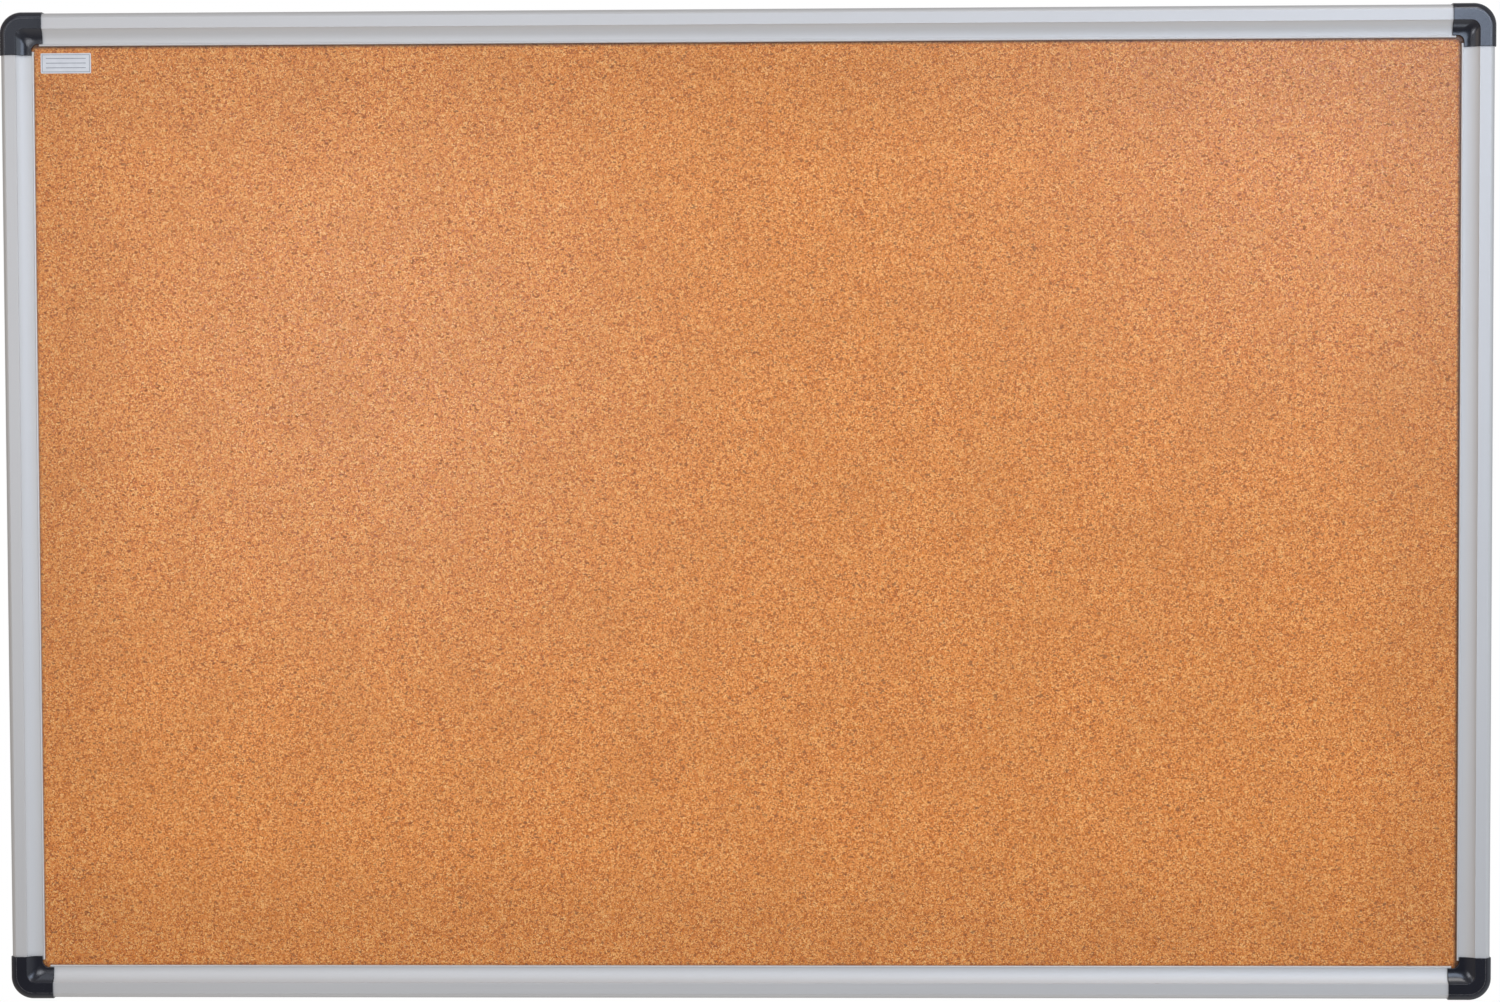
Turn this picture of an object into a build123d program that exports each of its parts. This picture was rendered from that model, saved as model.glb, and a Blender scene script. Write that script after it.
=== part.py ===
from build123d import *

import os
from math import cos, sin, sqrt, radians

# Cork bulletin board in an aluminium frame, with snap-off corner caps over concealed wall screws.
#
# Every piece is modelled with the board lying on its back: X to the right, Y up the board, and Z out of
# its face, counted from the wall plane. stand_up() turns it upright at the end, so that the board faces
# -Y with Z up, and the origin is the middle of the wall plane. Corner pieces are modelled for the lower
# left corner, whose point is the origin of their own X and Y, and mirrored to the other three.

# The whole board, measured over the corner caps
BOARD_WIDTH = 900.0
BOARD_HEIGHT = 600.0
CAP_SIDE_PROUD = 0.7    # how far a cap stands out beyond the rails' outer edges
CAP_FRONT_PROUD = 1.0   # and in front of the rails' face

# Extruded aluminium rail. U is counted inwards from its outer edge, Z from the wall
RAIL_DEPTH = 15.0
RAIL_WALL = 1.2
EDGE_ROUND_Z = 11.4     # where the outer side starts to round over
EDGE_ROUND_U = 3.0      # where the rounded edge meets the flat face, at a slight kink
EDGE_ROUND_MID = (0.96, 13.65)
FACE_END_U = 9.6        # the flat face ends in a small step down into the cove
FACE_STEP = 0.5
COVE_ANGLE = 40.0       # slope of the cove at the step; it runs out flat at the lip bead
COVE_END_U = 18.5
LIP_END_U = 19.7
BEAD_RISE = 0.45
BEAD_NOSE = 0.16        # the bead's nose ends this far below the cove's end
CHAMBER_END_U = 8.0     # hollow chamber that takes the corner bracket's spigot
SLOT_START_U = 9.2      # back wall of the slot that holds the panel
FLANGE_END_U = 15.0     # rear flange behind the panel
RAIL_END = 23.0         # from the frame's corner to the square-cut end of a rail

# Laminated panel, from the back forwards: it fills the rail's slot
BACKING_THICKNESS = 0.5
CORE_THICKNESS = 7.0
CORK_THICKNESS = 1.5
PANEL_GAP = 0.5         # between the panel's edge and the back wall of the slot
PANEL_CORNER_CUT = 13.0

# Self-tapping screws that hold the rails to the spigots, from behind
SCREW_FROM_END = 14.0
SCREW_RADIUS = 1.45
SCREW_LENGTH = 11.0
SCREW_TIP = 2.0
SCREW_HEAD_RADIUS = 2.6
SCREW_HEAD_DEPTH = 1.15
SCREW_CLEARANCE = 0.05
RECESS_LENGTH = 3.0
RECESS_WIDTH = 0.6
RECESS_DEPTH = 0.8

# Moulded corner bracket
BRACKET_INSET = 1.9     # its outer side, from the cap's outer side
BLOCK_HEIGHT = 10.6
BLOCK_ARM_END = 9.9
BLOCK_CORNER_CLEARANCE = 0.7
PLATE_END = 15.7
SPIGOT_LENGTH = 38.0
SPIGOT_ROOT = 1.8
SPIGOT_CLEARANCE = 0.15
SPIGOT_CHAMFER = 2.2
SPIGOT_TAPER = 1.5
WALL_HOLE_INSET = 10.5
WALL_HOLE_RADIUS = 2.5
POCKET_RADIUS = 4.6
POCKET_FLOOR = 3.2

# Moulded corner cap
CAP_ARM = 26.0
CAP_WALL = 1.5
CAP_SKIN = 1.2          # under the cove
CAP_CLEARANCE = 0.15
CAP_BACK = 0.5          # the cap's back edge stands this far off the wall
CAP_CORNER_RADIUS = 13.5
CAP_EDGE_ROUND_U = 3.3
CAP_EDGE_ROUND_MID = (1.02, 14.45)
CAP_STEP_RADIUS = 5.3
CAP_OPENING_RADIUS = 4.0
CAP_TONGUE = (4.4, 1.4)
CAP_TONGUE_AT = (18.7, 6.1)
CAP_TONGUE_FOOT = 5.0
TONGUE_SLOT = (5.0, 2.0)
TONGUE_SLOT_FLOOR = 4.0
COVE_SECTIONS = 7

# Stick-on label
LABEL_SIZE = (30.6, 12.2)
LABEL_THICKNESS = 0.15
LABEL_MARGIN = (3.9, 4.1)   # from the left and the upper rail's lip

COVE_DROP_Z = RAIL_DEPTH - FACE_STEP
COVE_RADIUS = (COVE_END_U - FACE_END_U) / sin(radians(COVE_ANGLE))
COVE_FLOOR_Z = COVE_DROP_Z - COVE_RADIUS * (1 - cos(radians(COVE_ANGLE)))
PANEL_THICKNESS = BACKING_THICKNESS + CORE_THICKNESS + CORK_THICKNESS
PANEL_FACE_Z = RAIL_WALL + PANEL_THICKNESS
PANEL_INSET = CAP_SIDE_PROUD + SLOT_START_U + PANEL_GAP
CAP_FRONT_Z = RAIL_DEPTH + CAP_FRONT_PROUD
CAP_STEP_U = CAP_SIDE_PROUD + FACE_END_U
CAP_OPENING_U = CAP_SIDE_PROUD + COVE_END_U - CAP_CLEARANCE
RAIL_START = CAP_SIDE_PROUD + RAIL_END


def cove_z(u, thickness=0.0):
    """Height of the rail's cove at u, or of its underside if a wall thickness is given."""
    radius = COVE_RADIUS + thickness
    return COVE_FLOOR_Z + COVE_RADIUS - sqrt(radius**2 - (COVE_END_U - u) ** 2)


def prism(points, bottom, top):
    """Straight-sided solid on a closed outline of points."""
    return Pos(0, 0, bottom) * extrude(make_face(Polyline(*points, close=True)), top - bottom)


def block(low, high):
    """Box between two corners."""
    size = [b - a for a, b in zip(low, high)]
    return Pos(*low) * Box(*size, align=(Align.MIN, Align.MIN, Align.MIN))


def drum(x, y, bottom, top, radius):
    """Upright cylinder."""
    return Pos(x, y, bottom) * Cylinder(radius, top - bottom, align=(Align.CENTER, Align.CENTER, Align.MIN))


# ---------------------------------------------------------------- rails


def rail_front():
    """The rail's outline from its outer foot, over the face and down the cove, to the foot of its lip."""
    middle_u = (FACE_END_U + COVE_END_U) / 2
    bead_top = ((COVE_END_U + LIP_END_U) / 2, COVE_FLOOR_Z + BEAD_RISE)
    bead_end = (LIP_END_U, COVE_FLOOR_Z - BEAD_NOSE)
    return [
        Line((0, 0), (0, EDGE_ROUND_Z)),
        ThreePointArc((0, EDGE_ROUND_Z), EDGE_ROUND_MID, (EDGE_ROUND_U, RAIL_DEPTH)),
        Line((EDGE_ROUND_U, RAIL_DEPTH), (FACE_END_U, RAIL_DEPTH)),
        Line((FACE_END_U, RAIL_DEPTH), (FACE_END_U, COVE_DROP_Z)),
        ThreePointArc((FACE_END_U, COVE_DROP_Z), (middle_u, cove_z(middle_u)), (COVE_END_U, COVE_FLOOR_Z)),
        ThreePointArc((COVE_END_U, COVE_FLOOR_Z), bead_top, bead_end),
    ]


def rail_envelope():
    """The rail's outside shape with nothing cut out of it, in the U-Z plane."""
    nose = (LIP_END_U, COVE_FLOOR_Z - BEAD_NOSE)
    return make_face(Curve() + rail_front() + [Line(nose, (LIP_END_U, 0)), Line((LIP_END_U, 0), (0, 0))])


def rail_section():
    """Cross-section of the extrusion: outer skin, spigot chamber, panel slot and rear flange."""
    lip_foot = (LIP_END_U, PANEL_FACE_Z)
    pad_u = COVE_END_U - sqrt(
        (COVE_RADIUS + RAIL_WALL) ** 2 - (COVE_FLOOR_Z + COVE_RADIUS - PANEL_FACE_Z) ** 2
    )
    middle_u = (SLOT_START_U + pad_u) / 2
    slot_top = (SLOT_START_U, cove_z(SLOT_START_U, RAIL_WALL))
    slot_bottom = (SLOT_START_U, RAIL_WALL)
    flange_edge = (FLANGE_END_U, RAIL_WALL)
    flange_foot = (FLANGE_END_U, 0)
    inside = [
        Line((LIP_END_U, COVE_FLOOR_Z - BEAD_NOSE), lip_foot),
        Line(lip_foot, (pad_u, PANEL_FACE_Z)),
        ThreePointArc((pad_u, PANEL_FACE_Z), (middle_u, cove_z(middle_u, RAIL_WALL)), slot_top),
        Line(slot_top, slot_bottom),
        Line(slot_bottom, flange_edge),
        Line(flange_edge, flange_foot),
        Line(flange_foot, (0, 0)),
    ]
    chamber_side = (RAIL_WALL, EDGE_ROUND_Z)
    chamber_top = (EDGE_ROUND_U + RAIL_WALL / 3, RAIL_DEPTH - RAIL_WALL)
    chamber_mid = (EDGE_ROUND_MID[0] + RAIL_WALL * 0.8, EDGE_ROUND_MID[1] - RAIL_WALL * 0.6)
    chamber = [
        Line((RAIL_WALL, RAIL_WALL), chamber_side),
        ThreePointArc(chamber_side, chamber_mid, chamber_top),
        Line(chamber_top, (CHAMBER_END_U, RAIL_DEPTH - RAIL_WALL)),
        Line((CHAMBER_END_U, RAIL_DEPTH - RAIL_WALL), (CHAMBER_END_U, RAIL_WALL)),
        Line((CHAMBER_END_U, RAIL_WALL), (RAIL_WALL, RAIL_WALL)),
    ]
    return make_face(Curve() + rail_front() + inside) - make_face(Curve() + chamber)


def along_x(section, start, end):
    """Carry a U-Z section along X, with U towards +Y."""
    return extrude(Plane.YZ.offset(start) * section, end - start)


def rail(side_length, across):
    """A rail for a side of the board, lying along X below the middle, with its screws' countersinks."""
    half = side_length / 2 - RAIL_START
    body = Pos(0, CAP_SIDE_PROUD - across / 2, 0) * along_x(rail_section(), -half, half)
    screw_y = CAP_SIDE_PROUD - across / 2 + screw_line_u()
    for x in (SCREW_FROM_END - half, half - SCREW_FROM_END):
        body -= Pos(x, screw_y, 0) * screw_blank(SCREW_CLEARANCE)
    return body


def screw_line_u():
    """The screws and spigots lie on the middle of the rail's chamber."""
    return (RAIL_WALL + CHAMBER_END_U) / 2


# ---------------------------------------------------------------- screws


def screw_blank(clearance=0.0):
    """Countersunk self-tapping screw pointing up, head flush with the back, or the hole that takes it."""
    shank = SCREW_RADIUS + clearance
    head = SCREW_HEAD_RADIUS + clearance
    length = SCREW_LENGTH + clearance
    half_section = [
        (0, 0),
        (head, 0),
        (shank, SCREW_HEAD_DEPTH),
        (shank, length - SCREW_TIP),
        (0, length),
    ]
    return revolve(Plane.XZ * make_face(Polyline(*half_section, close=True)), Axis.Z)


def screw():
    """A screw with its cross recess."""
    half = RECESS_LENGTH / 2
    rib = RECESS_WIDTH / 2
    recess = block((-half, -rib, 0), (half, rib, RECESS_DEPTH)) + block((-rib, -half, 0), (rib, half, RECESS_DEPTH))
    return screw_blank() - recess


def screw_places():
    """Where the two screws of a corner stand, one in each rail."""
    along = RAIL_START + SCREW_FROM_END
    across = CAP_SIDE_PROUD + screw_line_u()
    return [(along, across), (across, along)]


def corner_screws():
    """Both screws of a corner, as one group of separate solids."""
    return Compound(children=[Pos(x, y, 0) * screw() for x, y in screw_places()])


# ---------------------------------------------------------------- corner bracket


def rounded_corner(inset, radius, reach):
    """Square face from inset to reach both ways, with its outer corner rounded."""
    square = Pos(inset, inset) * Rectangle(reach - inset, reach - inset, align=(Align.MIN, Align.MIN))
    corner = square.vertices().sort_by(lambda v: v.X + v.Y)[0]
    return fillet(corner, radius)


def swap_xy(shape):
    """The same shape on the other arm of the corner."""
    return mirror(shape, Plane((0, 0, 0), x_dir=(0, 0, 1), z_dir=(1, -1, 0)))


def on_both_arms(shape):
    """A shape on the corner's X arm and the same on its Y arm."""
    return [shape, swap_xy(shape)]


def spigot():
    """Bar along X that fits the rail's chamber, with a tapered tip."""
    low = RAIL_WALL + SPIGOT_CLEARANCE
    high = RAIL_DEPTH - RAIL_WALL - SPIGOT_CLEARANCE
    inner = CHAMBER_END_U - SPIGOT_CLEARANCE
    outline = [
        (low, low),
        (low, high - SPIGOT_CHAMFER),
        (low + SPIGOT_CHAMFER, high),
        (inner, high),
        (inner, low),
    ]
    section = make_face(Polyline(*outline, close=True))
    bar = along_x(section, RAIL_START - SPIGOT_ROOT, RAIL_START + SPIGOT_LENGTH)
    bar = chamfer(bar.faces().sort_by(Axis.X)[-1].edges(), SPIGOT_TAPER)
    return Pos(0, CAP_SIDE_PROUD, 0) * bar


def tongue_slot():
    """Slot in the block for one of the cap's tongues."""
    x, y = CAP_TONGUE_AT
    half_x, half_y = TONGUE_SLOT[0] / 2, TONGUE_SLOT[1] / 2
    return block((x - half_x, y - half_y, TONGUE_SLOT_FLOOR), (x + half_x, y + half_y, BLOCK_HEIGHT + 1))


def corner_bracket():
    """Corner block with a pocket and hole for the wall screw, a rear plate and two spigots."""
    radius = CAP_CORNER_RADIUS - BRACKET_INSET
    footprint = rounded_corner(BRACKET_INSET, radius, RAIL_START)
    diagonal = 2 * PANEL_INSET + PANEL_CORNER_CUT - BLOCK_CORNER_CLEARANCE
    beyond = 2 * RAIL_START
    inside_cut = prism(
        [(BLOCK_ARM_END, beyond), (BLOCK_ARM_END, diagonal - BLOCK_ARM_END),
         (diagonal - BLOCK_ARM_END, BLOCK_ARM_END), (beyond, BLOCK_ARM_END), (beyond, beyond)],
        RAIL_WALL, BLOCK_HEIGHT + 1,
    )
    body = extrude(footprint, BLOCK_HEIGHT) - inside_cut
    body -= block((PLATE_END, PLATE_END, -1), (beyond, beyond, BLOCK_HEIGHT))
    body += on_both_arms(spigot())
    body -= on_both_arms(tongue_slot())
    body -= drum(WALL_HOLE_INSET, WALL_HOLE_INSET, -1, BLOCK_HEIGHT + 1, WALL_HOLE_RADIUS)
    body -= drum(WALL_HOLE_INSET, WALL_HOLE_INSET, POCKET_FLOOR, BLOCK_HEIGHT + 1, POCKET_RADIUS)
    body -= [Pos(x, y, 0) * screw_blank(SCREW_CLEARANCE) for x, y in screw_places()]
    return body


# ---------------------------------------------------------------- corner cap


def cap_edge_cutter():
    """Sliver outside the cap's rounded front edge, carried round the corner."""
    far = CAP_ARM + 5
    outside = -1
    start = (0, EDGE_ROUND_Z + CAP_FRONT_PROUD)
    end = (CAP_EDGE_ROUND_U, CAP_FRONT_Z)
    sliver = make_face(Curve() + [
        ThreePointArc(start, CAP_EDGE_ROUND_MID, end),
        Line(end, (CAP_EDGE_ROUND_U, CAP_FRONT_Z + 1)),
        Line((CAP_EDGE_ROUND_U, CAP_FRONT_Z + 1), (outside, CAP_FRONT_Z + 1)),
        Line((outside, CAP_FRONT_Z + 1), (outside, start[1])),
        Line((outside, start[1]), start),
    ])
    path = FilletPolyline((0, far), (0, 0), (far, 0), radius=CAP_CORNER_RADIUS)
    return sweep(Plane((0, far, 0), x_dir=(1, 0, 0), z_dir=(0, -1, 0)) * sliver, path=path)


def cove_cutter():
    """Everything in front of the cap's cove: rounded squares that grow as the cove climbs to the step."""
    reach = 2 * CAP_ARM
    sections = []
    for index in range(COVE_SECTIONS):
        share = index / (COVE_SECTIONS - 1)
        u = COVE_END_U + (FACE_END_U - COVE_END_U) * share
        inset = CAP_OPENING_U + (CAP_STEP_U - CAP_OPENING_U) * share
        radius = CAP_OPENING_RADIUS + (CAP_STEP_RADIUS - CAP_OPENING_RADIUS) * share
        sections.append(Pos(0, 0, cove_z(u) + CAP_FRONT_PROUD) * rounded_corner(inset, radius, reach))
    step = rounded_corner(CAP_STEP_U, CAP_STEP_RADIUS, reach)
    return loft(sections, ruled=True) + Pos(0, 0, COVE_DROP_Z + CAP_FRONT_PROUD) * extrude(step, 2)


def cap_opening(shift=0.0):
    """Column through the cap over the visible cork, with its corner rounded."""
    face = rounded_corner(CAP_OPENING_U - shift, CAP_OPENING_RADIUS, 2 * CAP_ARM)
    return Pos(0, 0, -1) * extrude(face, CAP_FRONT_Z + 2)


def cap_tongue():
    """Tongue inside the cap that presses into the bracket's slot."""
    x, y = CAP_TONGUE_AT
    half_x, half_y = CAP_TONGUE[0] / 2, CAP_TONGUE[1] / 2
    top = CAP_FRONT_Z - CAP_WALL / 2
    return block((x - half_x, y - half_y, CAP_TONGUE_FOOT), (x + half_x, y + half_y, top))


def corner_cap():
    """Thin shell over the corner bracket and the rails' ends, open over the cork."""
    slab = extrude(rounded_corner(0, CAP_CORNER_RADIUS, CAP_ARM), CAP_FRONT_Z - CAP_BACK)
    outside = Pos(0, 0, CAP_BACK) * slab - cap_edge_cutter() - cove_cutter() - cap_opening()

    hollow_face = rounded_corner(CAP_WALL, CAP_CORNER_RADIUS - CAP_WALL, RAIL_START)
    hollow = Pos(0, 0, -1) * extrude(hollow_face, CAP_FRONT_Z - CAP_WALL + 1)
    hollow -= Pos(-CAP_SKIN, -CAP_SKIN, -CAP_SKIN) * cove_cutter()
    hollow -= cap_opening(CAP_SKIN)

    over_rail = offset(rail_envelope(), CAP_CLEARANCE, kind=Kind.INTERSECTION)
    rail_room = Pos(0, CAP_SIDE_PROUD, 0) * along_x(over_rail, RAIL_START - CAP_CLEARANCE, CAP_ARM + 1)
    below = PANEL_FACE_Z + CAP_CLEARANCE
    panel_room = block((PANEL_INSET, PANEL_INSET, 0), (2 * CAP_ARM, 2 * CAP_ARM, below))
    shell = outside - hollow - panel_room - on_both_arms(rail_room)
    return shell + on_both_arms(cap_tongue())


# ---------------------------------------------------------------- panel and label


def panel_layer(bottom, thickness):
    """One layer of the panel: a rectangle with its corners cut off to clear the brackets."""
    sheet = Rectangle(BOARD_WIDTH - 2 * PANEL_INSET, BOARD_HEIGHT - 2 * PANEL_INSET)
    return Pos(0, 0, bottom) * extrude(chamfer(sheet.vertices(), PANEL_CORNER_CUT), thickness)


def label():
    """Blank rectangular sticker on the cork, in the upper left corner."""
    lip = CAP_SIDE_PROUD + LIP_END_U
    width, height = LABEL_SIZE
    left = lip + LABEL_MARGIN[0] - BOARD_WIDTH / 2
    top = BOARD_HEIGHT / 2 - lip - LABEL_MARGIN[1]
    low = (left, top - height, PANEL_FACE_Z)
    return block(low, (left + width, top, PANEL_FACE_Z + LABEL_THICKNESS))


# ---------------------------------------------------------------- the whole board


def in_corner(shape, upper, right):
    """Put a corner piece in its corner of the board."""
    placed = Pos(-BOARD_WIDTH / 2, -BOARD_HEIGHT / 2, 0) * shape
    if upper:
        placed = mirror(placed, Plane.XZ)
    if right:
        placed = mirror(placed, Plane.YZ)
    return placed


def stand_up(shape):
    """From lying on its back to upright, facing -Y."""
    return Rot(90, 0, 0) * shape


def make_pieces():
    """Every piece of the board by name, lying on its back."""
    long_rail = rail(BOARD_WIDTH, BOARD_HEIGHT)
    short_rail = rail(BOARD_HEIGHT, BOARD_WIDTH)
    core_bottom = RAIL_WALL + BACKING_THICKNESS
    pieces = {
        "rail_bottom": long_rail,
        "rail_right": Rot(0, 0, 90) * short_rail,
        "rail_top": Rot(0, 0, 180) * long_rail,
        "rail_left": Rot(0, 0, -90) * short_rail,
        "backing_sheet": panel_layer(RAIL_WALL, BACKING_THICKNESS),
        "core_board": panel_layer(core_bottom, CORE_THICKNESS),
        "cork_sheet": panel_layer(core_bottom + CORE_THICKNESS, CORK_THICKNESS),
        "label": label(),
    }
    corner_makers = {
        "corner_bracket": corner_bracket,
        "corner_screws": corner_screws,
        "corner_cap": corner_cap,
    }
    for kind, make in corner_makers.items():
        shape = make()
        for upper in (False, True):
            for right in (False, True):
                place = f"{'top' if upper else 'bottom'}_{'right' if right else 'left'}"
                pieces[f"{kind}_{place}"] = in_corner(shape, upper, right)
    return pieces


os.makedirs("parts", exist_ok=True)
for name, piece in make_pieces().items():
    export_step(stand_up(piece), f"parts/{name}.step")
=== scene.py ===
import math

import bmesh
import bpy
import numpy as np
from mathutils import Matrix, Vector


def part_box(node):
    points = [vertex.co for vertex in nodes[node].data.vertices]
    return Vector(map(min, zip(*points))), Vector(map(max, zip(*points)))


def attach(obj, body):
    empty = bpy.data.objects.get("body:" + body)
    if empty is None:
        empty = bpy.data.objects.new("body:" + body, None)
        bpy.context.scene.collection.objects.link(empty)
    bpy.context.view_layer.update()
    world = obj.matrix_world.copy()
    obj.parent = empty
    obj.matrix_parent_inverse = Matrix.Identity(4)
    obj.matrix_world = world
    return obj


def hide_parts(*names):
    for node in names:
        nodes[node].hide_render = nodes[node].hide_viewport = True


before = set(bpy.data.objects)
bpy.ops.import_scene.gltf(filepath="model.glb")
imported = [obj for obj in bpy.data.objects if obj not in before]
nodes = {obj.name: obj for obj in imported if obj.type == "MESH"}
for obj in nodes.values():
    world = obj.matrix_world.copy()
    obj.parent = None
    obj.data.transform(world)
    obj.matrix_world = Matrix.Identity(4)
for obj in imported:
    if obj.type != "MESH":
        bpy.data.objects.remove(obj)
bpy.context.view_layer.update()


# ---------------------------------------------------------------------------------------------------
# Frame rails: four lengths of extruded aluminium, sawn square, with a satin anodised skin. A hollow
# chamber takes the corner bracket's spigot, a slot grips the panel, and a cove runs down to the lip.

MM = 0.001
RAIL_OUTLINE = [  # distance in from the outer edge, height off the wall, corner radius, in mm
    (0.0, 0.0, 0.25), (0.0, 14.45, 3.6), (3.0, 15.0, 0.4), (9.6, 15.0, 0.2), (9.6, 14.5, 0.12),
    (13.46, 11.26, 13.4), (18.5, 11.26, 0.04), (18.5, 11.71, 0.4), (19.7, 11.71, 0.6), (19.7, 10.2, 0.08),
    (16.3, 10.2, 0.1), (13.2, 10.35, 5.0), (9.2, 13.28, 0.15), (9.2, 1.2, 0.15), (15.0, 1.2, 0.25),
    (15.0, 0.0, 0.25),
]
CHAMBER_OUTLINE = [(1.2, 1.2, 0.3), (1.2, 13.5, 2.3), (3.4, 13.8, 0.5), (8.0, 13.8, 0.4), (8.0, 1.2, 0.3)]
SAW_BURR = 0.12 * MM      # rounding left on the sawn ends, along the rail
SAW_BURR_DEPTH = 0.7 * SAW_BURR   # and into it
SCREW_FROM_END = 14.0 * MM
SCREW_LINE = 4.6 * MM     # in from the rail's outer edge
COUNTERSINK = [(-0.5, 3.15), (1.15, 1.5), (3.0, 1.5)]   # depth and radius, in mm
COUNTERSINK_SIDES = 40
ARC_STEPS = 10            # points on each rounded corner of an outline
TIGHT_RADIUS = 1.0 * MM   # a corner under this radius that turns by at least this angle shows wear and a painted highlight
TIGHT_TURN = math.radians(8)
SHARP_ANGLE = 40          # degrees past which an edge is left hard
NOISE_LOW, NOISE_HIGH = 0.3, 0.7   # where nearly all of a noise's values lie
MIX_FACTOR, MIX_FIRST, MIX_SECOND, MIX_COLOUR = 0, 6, 7, 2   # a colour Mix node's sockets
ANODISED_TONES = ((0.535, 0.530, 0.523), (0.573, 0.568, 0.560))
ANODISED_CLOUD = (0.565, 0.560, 0.552)
ANODISED_CORNER_WEAR_AND_HIGHLIGHT = (0.71, 0.705, 0.70)


def rounded_outline(corners, steps=ARC_STEPS):
    """Closed outline whose corners are arcs tangent to both their sides.

    The centre of a corner's arc lies on the bisector, radius / sin(half the corner's angle) from the corner,
    and the arc turns evenly from one side to the other. Also gives each point's edge wear and painted
    highlight,
    1 at the middle of a tight outer corner and 0 along the sides, and its outward normal.
    """
    table = np.array(corners, float) * MM
    corner, radius = table[:, :2], table[:, 2:]
    back = np.roll(corner, 1, 0) - corner
    ahead = np.roll(corner, -1, 0) - corner
    back /= np.linalg.norm(back, axis=1, keepdims=True)
    ahead /= np.linalg.norm(ahead, axis=1, keepdims=True)
    half = np.arccos(np.clip((back * ahead).sum(1, keepdims=True), -1, 1)) / 2
    middle = (back + ahead) / np.linalg.norm(back + ahead, axis=1, keepdims=True)
    centre = corner + middle * radius / np.sin(half)
    first = (corner + back * radius / np.tan(half) - centre) / radius
    last = (corner + ahead * radius / np.tan(half) - centre) / radius
    turn = np.pi - 2 * half
    share = np.linspace(0, 1, steps)
    spoke = (np.sin((1 - share) * turn)[..., None] * first[:, None]
             + np.sin(share * turn)[..., None] * last[:, None]) / np.sin(turn)[..., None]
    points = (centre[:, None] + radius[:, None] * spoke).reshape(-1, 2)
    area = (corner[:, 0] * np.roll(corner[:, 1], -1) - np.roll(corner[:, 0], -1) * corner[:, 1]).sum()
    outer = np.sign(area) * np.sign(back[:, 1] * ahead[:, 0] - back[:, 0] * ahead[:, 1])
    tight = (outer > 0) & (radius[:, 0] < TIGHT_RADIUS) & (turn[:, 0] > TIGHT_TURN)
    edge_wear_and_highlight = (tight[:, None] * np.sin(np.pi * share)[None]).reshape(-1)
    return points, edge_wear_and_highlight, (spoke * outer[:, None, None]).reshape(-1, 2)


def without_wear_or_highlight(grids):
    """Tubes with no edge wear or painted highlight on them, from their points alone."""
    return [(grid, np.zeros(grid.shape[1])) for grid in grids]


def solid_from_tubes(name, tubes, material, sharp_angle=SHARP_ANGLE, nested=False):
    """Mesh from tubes of points [ring, point, xyz], each ring a closed loop, with a lid on both ends.

    Each tube has its edge wear and painted highlight per point; its UVs are metres along the tube and metres
    round the first ring.
    Nested tubes share their end faces, so that the inner one is a hole through the outer. Any other lid is
    one many-sided face cut into triangles. Known fault: on the caps' thin hooked outline those triangles
    spill outside the outline, so a cap's arms have stray faces across their ends.
    """
    points, faces, wears_and_highlights, uvs, ends, first = [], [], [], [], [], 0
    for grid, edge_wear_and_highlight in tubes:
        rings, around = grid.shape[:2]
        index = first + np.arange(rings * around).reshape(rings, around)
        side = np.roll(index, -1, 1)
        ends += [index[0].tolist(), index[-1].tolist()]
        faces.append(np.stack([index[:-1], side[:-1], side[1:], index[1:]], -1).reshape(-1, 4))
        along = np.linalg.norm(np.diff(grid.mean(1), axis=0), axis=1)
        round_it = np.linalg.norm(np.diff(grid[0], axis=0), axis=1)
        u = np.broadcast_to(np.concatenate([[0], along.cumsum()])[:, None], (rings, around))
        v = np.broadcast_to(np.concatenate([[0], round_it.cumsum()])[None], (rings, around))
        points.append(grid.reshape(-1, 3))
        wears_and_highlights.append(np.broadcast_to(edge_wear_and_highlight, (rings, around)).reshape(-1))
        uvs.append(np.stack([u, v], -1).reshape(-1, 2))
        first += rings * around
    mesh = bpy.data.meshes.new(name)
    mesh.from_pydata(np.concatenate(points).tolist(), [], np.concatenate(faces).tolist())
    wear_and_highlight_layer = mesh.attributes.new("edge_wear_and_highlight", "FLOAT", "POINT")
    wear_and_highlight_layer.data.foreach_set("value", np.concatenate(wears_and_highlights).astype(np.float32))
    vertex = np.empty(len(mesh.loops), np.int32)
    mesh.loops.foreach_get("vertex_index", vertex)
    uv_layer = mesh.uv_layers.new(name="UVMap")
    uv_layer.data.foreach_set("uv", np.concatenate(uvs)[vertex].astype(np.float32).ravel())
    work = bmesh.new()
    work.from_mesh(mesh)
    work.verts.ensure_lookup_table()
    if nested:
        rims = [edge for edge in work.edges if edge.is_boundary]
        for end in (set(sum(ends[0::2], [])), set(sum(ends[1::2], []))):
            rim = [edge for edge in rims if edge.verts[0].index in end and edge.verts[1].index in end]
            bmesh.ops.triangle_fill(work, edges=rim, use_beauty=True)
    else:
        lids = [work.faces.new([work.verts[point] for point in end]) for end in ends]
        bmesh.ops.triangulate(work, faces=lids)
    bmesh.ops.recalc_face_normals(work, faces=work.faces)
    work.to_mesh(mesh)
    work.free()
    mesh.materials.append(material)
    piece = bpy.data.objects.new(name, mesh)
    bpy.context.scene.collection.objects.link(piece)
    return smoothed(piece, sharp_angle)


def smoothed(piece, sharp_angle=SHARP_ANGLE):
    """Smooth shading with hard edges past an angle, and normals that keep the flats flat."""
    mesh = piece.data
    mesh.polygons.foreach_set("use_smooth", np.ones(len(mesh.polygons), bool))
    mesh.set_sharp_from_angle(angle=math.radians(sharp_angle))
    if not piece.modifiers:
        piece.modifiers.new("flats", "WEIGHTED_NORMAL").keep_sharp = True
    return piece


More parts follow.
